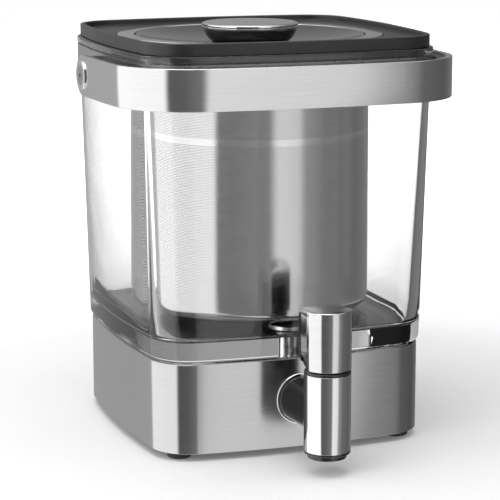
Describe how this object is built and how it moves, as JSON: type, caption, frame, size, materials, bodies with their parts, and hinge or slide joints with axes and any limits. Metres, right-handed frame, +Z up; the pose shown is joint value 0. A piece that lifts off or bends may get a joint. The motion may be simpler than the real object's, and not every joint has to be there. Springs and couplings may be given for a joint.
{
  "type": "cold brew coffee maker",
  "caption": "Countertop cold brew coffee maker: tapered glass jar on a steel base, steel steeper under a knobbed lid, swinging bail handle and a lever tap.",
  "frame": {"origin": "centre of the base's plan, on the ground plane under its four feet", "axes": "+Z up, -Y towards the tap and the bail's resting front, +X to the right seen from the tap"},
  "size_m": [0.2134, 0.2358, 0.2471],
  "materials": {
    "clear_glass": "clear, smooth",
    "brushed_steel": "brushed, satin",
    "polished_steel": "polished",
    "plain_steel": "plain, machined",
    "black_gloss": "glossy black",
    "black_matte": "satin black",
    "black_rubber": "dull black"
  },
  "bodies": {
    "base_and_jar": {"brew_jar": "clear_glass", "neck_band": "brushed_steel", "handle_spacers": "black_matte", "handle_pivot_screws": "plain_steel", "base_shell": "brushed_steel", "jar_support": "black_matte", "jar_cushion": "black_rubber", "base_plate": "black_matte", "base_feet": "black_rubber", "base_screws": "plain_steel", "drain_fitting": "plain_steel", "drain_gaskets": "black_rubber", "drain_nut": "plain_steel", "outlet_elbow": "black_rubber", "tap_body": "black_gloss", "tap_sleeve": "polished_steel", "tap_washer": "polished_steel", "tap_nut": "plain_steel", "tap_spout": "black_gloss", "tap_bonnet": "black_gloss"},
    "handle": {"handle_strap": "brushed_steel", "handle_grip": "black_matte", "handle_washers": "polished_steel", "handle_stop_pins": "plain_steel"},
    "lever": {"tap_lever": "black_matte", "tap_lever_shell": "brushed_steel", "lever_hinge_pin": "plain_steel", "lever_link_pin": "plain_steel"},
    "valve": {"valve_stem": "plain_steel", "valve_seal": "black_rubber", "valve_spring": "plain_steel"},
    "lid": {"jar_lid": "black_matte", "lid_gasket": "black_rubber"},
    "steeper": {"steeper_basket": "brushed_steel", "steeper_rim": "brushed_steel"},
    "steeper_cover": {"steeper_lid": "black_gloss", "steeper_lid_seal": "black_rubber", "lid_knob_body": "black_gloss", "lid_knob_cap": "polished_steel", "lid_knob_screw": "plain_steel"}
  },
  "joints": [
    {"name": "handle_swing", "type": "hinge", "parent": "base_and_jar", "child": "handle", "pos_m": [0, 0, 0.21785], "axis": [-1, 0, 0], "range_deg": [0, 90]},
    {"name": "tap_lever_tip", "type": "hinge", "parent": "base_and_jar", "child": "lever", "pos_m": [0, -0.122, 0.066], "axis": [-1, 0, 0], "range_deg": [0, 25], "stiffness_Nm_per_rad": 0.25, "springref_deg": -17.19},
    {"name": "valve_lift", "type": "slide", "parent": "base_and_jar", "child": "valve", "axis": [0, 0, 1], "range_m": [0, 0.0028], "deforming": ["valve_spring"]},
    {"name": "lid_lift", "type": "slide", "parent": "base_and_jar", "child": "lid", "axis": [0, 0, 1], "range_m": [0, 0.26]},
    {"name": "steeper_lift", "type": "slide", "parent": "lid", "child": "steeper", "axis": [0, 0, 1], "range_m": [0, 0.26]},
    {"name": "cover_lift", "type": "slide", "parent": "steeper", "child": "steeper_cover", "axis": [0, 0, 1], "range_m": [0, 0.12]}
  ],
  "couplings": [
    {"joint": "valve_lift", "follows": "tap_lever_tip", "m_per_rad": 0.006296}
  ]
}
